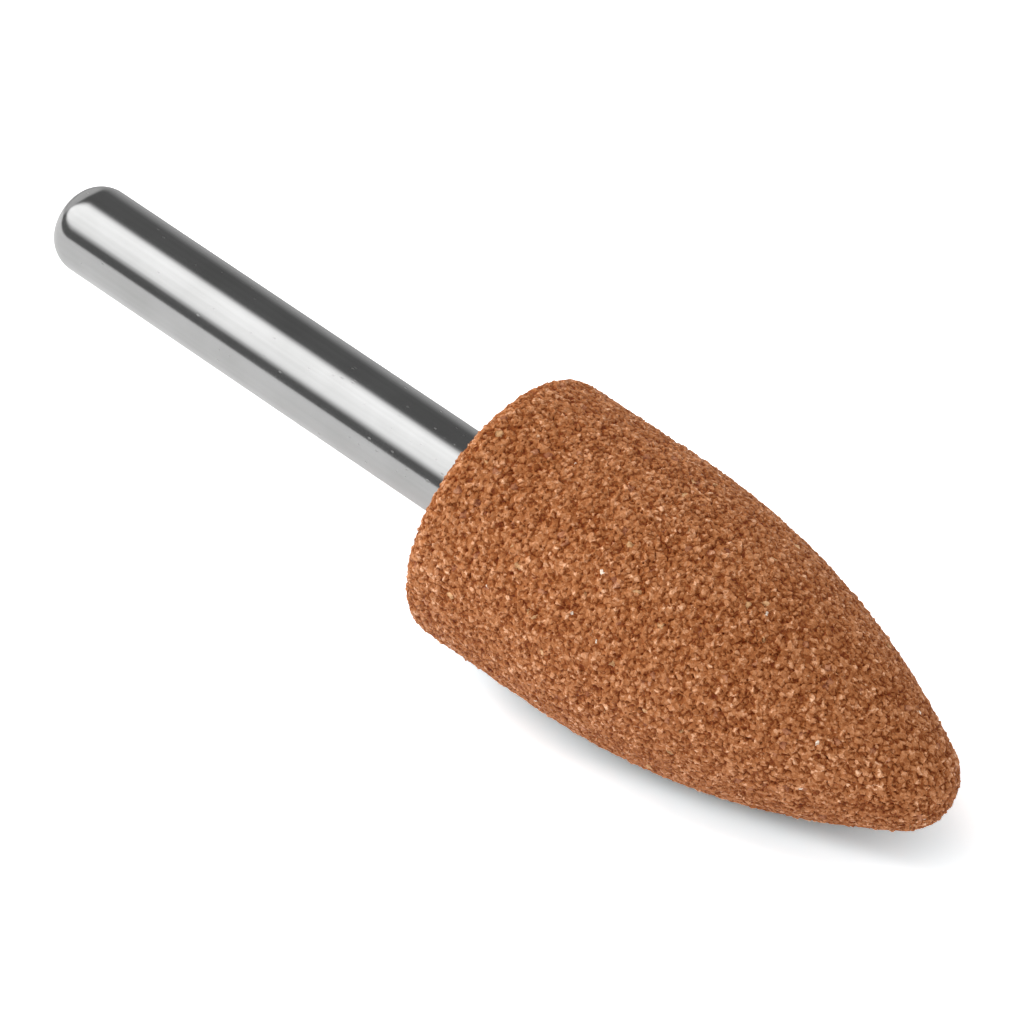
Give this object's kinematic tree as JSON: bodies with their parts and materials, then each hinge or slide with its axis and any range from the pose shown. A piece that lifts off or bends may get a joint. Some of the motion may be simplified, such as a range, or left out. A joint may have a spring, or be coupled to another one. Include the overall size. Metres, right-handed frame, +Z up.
{
  "type": "mounted point",
  "caption": "Mounted grinding point: an ogive shaped abrasive stone with a blunt tip, cemented on a plain round steel shank with a rounded end.",
  "frame": {"origin": "on the tool's axis, where the shank leaves the back face of the stone", "axes": "+X along the axis towards the tip of the stone, +Z up as the tool lies on the straight part of its stone"},
  "size_m": [0.0761, 0.0194, 0.0195],
  "materials": {
    "ground_steel": "ground and polished bright steel",
    "abrasive_grain": "rough vitrified orange brown grain with open pores",
    "bond_cement": "matt grey cement"
  },
  "bodies": {
    "root": {"shank": "ground_steel", "stone": "abrasive_grain", "cement": "bond_cement"}
  },
  "joints": []
}
